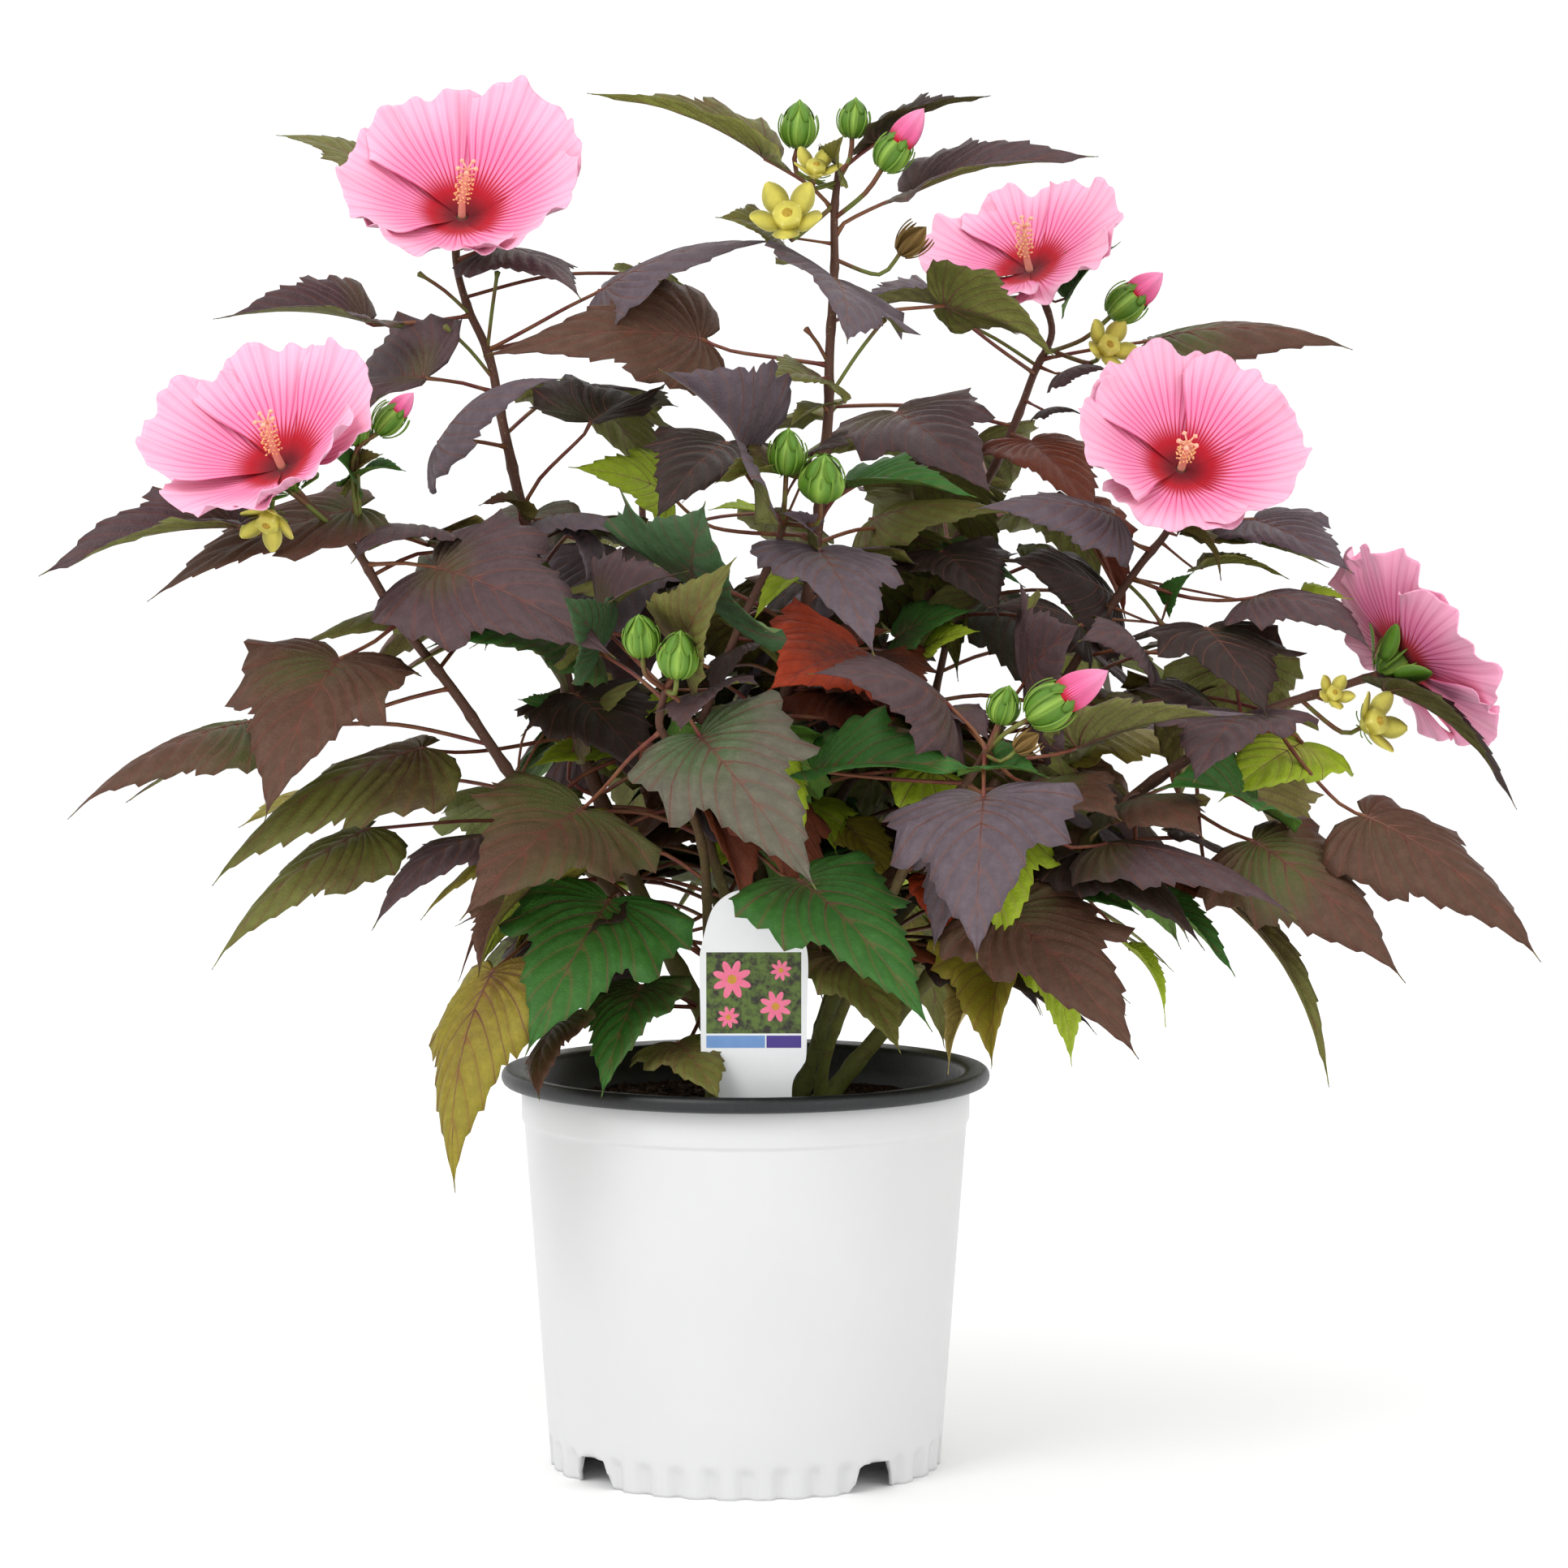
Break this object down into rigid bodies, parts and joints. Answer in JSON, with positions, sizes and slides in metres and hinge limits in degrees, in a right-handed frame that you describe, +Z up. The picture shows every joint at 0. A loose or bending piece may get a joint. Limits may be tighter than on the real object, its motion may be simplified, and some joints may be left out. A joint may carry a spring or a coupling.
{
  "type": "potted flowering shrub",
  "caption": "Rose mallow with dark lobed leaves and large pink blooms, in a round white nursery pot with a black rim and a plain plant label.",
  "frame": {"origin": "middle of the pot's flat underside, on the surface that it stands on", "axes": "+Z up along the pot's axis, front of the plant towards -Y, +X to the right as seen from the front"},
  "size_m": [0.8237, 0.5112, 0.7908],
  "materials": {
    "leaf_mass": "matte",
    "petal": "satin",
    "stem": "matte",
    "pot_white": "satin",
    "pot_black": "gloss",
    "label": "satin",
    "mix": "matte"
  },
  "bodies": {
    "root": {"bloom_east_centre": "petal", "bloom_east_end": "petal", "bloom_east_high": "petal", "bloom_west_high": "petal", "bloom_west_low": "petal", "bough_west_low": "stem", "label_stake": "label", "leaves_back_east": "leaf_mass", "leaves_back_low": "leaf_mass", "leaves_back_west": "leaf_mass", "leaves_centre_crown": "leaf_mass", "leaves_centre_west": "leaf_mass", "leaves_east_centre": "leaf_mass", "leaves_east_end": "leaf_mass", "leaves_east_high": "leaf_mass", "leaves_east_mid": "leaf_mass", "leaves_east_middle": "leaf_mass", "leaves_east_shelf": "leaf_mass", "leaves_east_tip": "leaf_mass", "leaves_front_centre": "leaf_mass", "leaves_front_east": "leaf_mass", "leaves_front_west": "leaf_mass", "leaves_heart": "leaf_mass", "leaves_high_east": "leaf_mass", "leaves_high_inner_west": "leaf_mass", "leaves_high_west": "leaf_mass", "leaves_inner_west": "leaf_mass", "leaves_middle": "leaf_mass", "leaves_middle_dark": "leaf_mass", "leaves_middle_low": "leaf_mass", "leaves_orange": "leaf_mass", "leaves_pot_west": "leaf_mass", "leaves_red": "leaf_mass", "leaves_rust": "leaf_mass", "leaves_southeast": "leaf_mass", "leaves_southwest": "leaf_mass", "leaves_top_buds": "leaf_mass", "leaves_top_east": "leaf_mass", "leaves_top_west": "leaf_mass", "leaves_under_east_bloom": "leaf_mass", "leaves_under_west_bloom": "leaf_mass", "leaves_upper_centre": "leaf_mass", "leaves_west_bough": "leaf_mass", "leaves_west_hanging": "leaf_mass", "leaves_west_inner": "leaf_mass", "leaves_west_low": "leaf_mass", "leaves_west_tip": "leaf_mass", "pot_rim_liner": "pot_black", "pot_wall": "pot_white", "potting_mix": "mix", "stem_back_east": "stem", "stem_back_west": "stem", "stem_centre": "stem", "stem_east_low": "stem", "stem_east_upright": "stem", "stem_front_east": "stem", "stem_front_west": "stem", "stem_inner_east": "stem", "stem_inner_west": "stem", "stem_west": "stem"}
  },
  "joints": []
}
